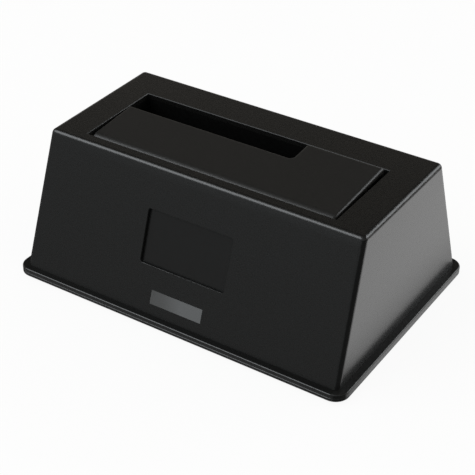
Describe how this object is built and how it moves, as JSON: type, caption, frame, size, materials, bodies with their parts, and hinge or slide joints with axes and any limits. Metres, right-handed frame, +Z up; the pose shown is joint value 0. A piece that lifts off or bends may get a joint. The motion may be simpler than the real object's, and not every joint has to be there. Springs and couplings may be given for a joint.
{
  "type": "hard drive docking station",
  "caption": "Upright dock for one bare drive: tapered housing, hinged sprung flap with a notch for small drives, rear port panel with a push switch",
  "frame": {"origin": "on the surface that the feet stand on, below the middle of the base rim", "axes": "+Z up, +Y towards the rear ports, +X to the right as seen from the front"},
  "size_m": [0.1414, 0.0958, 0.0569],
  "materials": {
    "black_abs": "fine spark-eroded grain, black",
    "badge_black": "smooth satin black, bare",
    "smoked_window": "smoked translucent acrylic",
    "rubber": "matte black rubber",
    "steel": "zinc-plated steel",
    "spring_steel": "drawn spring wire",
    "board_green": "green solder mask",
    "insulator_black": "black glass-filled nylon",
    "usb_blue": "blue moulded insulator",
    "contact_gold": "gold-flashed copper alloy",
    "tin": "bright tin plate",
    "can_aluminium": "drawn aluminium can",
    "chip_black": "moulded epoxy package",
    "ferrite": "grey ferrite body",
    "passive": "ceramic chip with tin ends",
    "led_white": "milky epoxy lens",
    "switch_body": "black nylon"
  },
  "bodies": {
    "enclosure": {"upper_housing": "black_abs", "base_plate": "black_abs", "drive_bay": "black_abs", "front_badge_plate": "badge_black", "led_window": "smoked_window", "foot_front_left": "rubber", "foot_front_right": "rubber", "foot_rear_left": "rubber", "foot_rear_right": "rubber", "base_screws": "steel", "bay_screws": "steel", "board_screws": "steel", "flap_hinge_pin": "steel", "flap_return_spring": "spring_steel", "main_board": "board_green", "sata_insulator": "insulator_black", "sata_power_contacts": "contact_gold", "sata_signal_contacts": "contact_gold", "usb_shell": "tin", "usb_insulator": "usb_blue", "usb_contacts": "contact_gold", "dc_jack_housing": "insulator_black", "dc_jack_pin": "tin", "dc_jack_contact": "tin", "power_switch_body": "switch_body", "bridge_controller": "chip_black", "bridge_controller_leads": "tin", "memory_chip": "chip_black", "memory_chip_leads": "tin", "crystal": "tin", "power_inductors": "ferrite", "drive_regulator": "chip_black", "logic_regulator": "chip_black", "capacitor_bases": "chip_black", "capacitor_cans": "can_aluminium", "chip_passives": "passive", "power_led": "led_white", "activity_led": "led_white"},
    "flap": {"flap_door": "black_abs"},
    "button": {"power_button": "black_abs"}
  },
  "joints": [
    {"name": "flap_hinge", "type": "hinge", "parent": "enclosure", "child": "flap", "pos_m": [0, -0.01895, 0.05089], "axis": [1, 0, 0], "range_deg": [-93.8, 0], "stiffness_Nm_per_rad": 0.005, "springref_deg": 34.38, "deforming": ["flap_return_spring"]},
    {"name": "button_press", "type": "slide", "parent": "enclosure", "child": "button", "axis": [0, -1, 0], "range_m": [0, 0.002], "stiffness_N_per_m": 600, "springref_m": -0.001}
  ]
}
